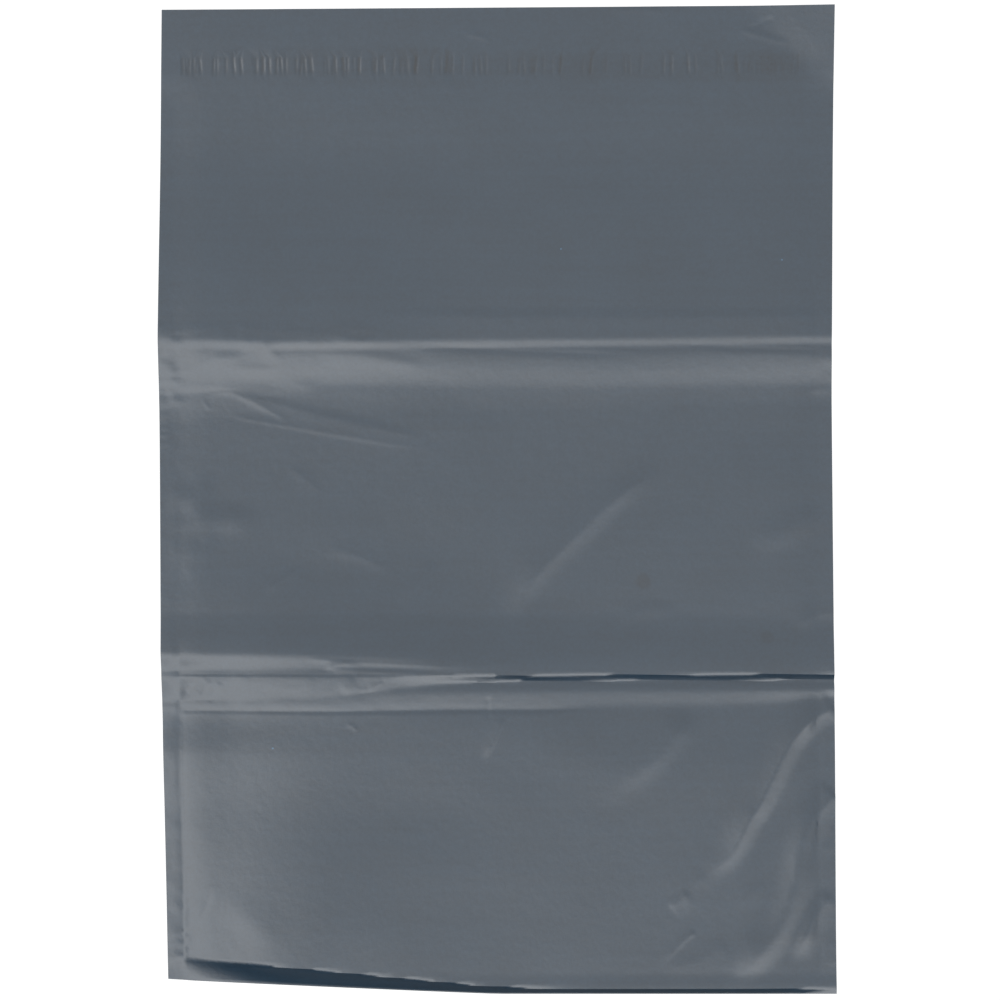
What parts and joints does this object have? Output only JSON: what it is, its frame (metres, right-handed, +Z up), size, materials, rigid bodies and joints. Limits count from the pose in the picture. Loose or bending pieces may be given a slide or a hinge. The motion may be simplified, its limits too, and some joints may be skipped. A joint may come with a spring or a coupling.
{
  "type": "poly mailer bag",
  "caption": "Flat grey film mailing bag with a self-seal lip, side-welded pocket and storage creases, lying face down.",
  "frame": {"origin": "on the surface that the bag lies on, under the middle of its outline", "axes": "+Y towards the lip edge, +X across the bag to the right seen from above with the lip at the top, +Z up through the back panel"},
  "size_m": [0.3076, 0.4471, 0.0085],
  "materials": {
    "film": "satin grey polythene film",
    "glue": "clear tacky hot-melt glue",
    "liner": "smooth white siliconed release strip"
  },
  "bodies": {
    "root": {"film_envelope": "film", "glue_strip": "glue", "release_liner": "liner"}
  },
  "joints": []
}
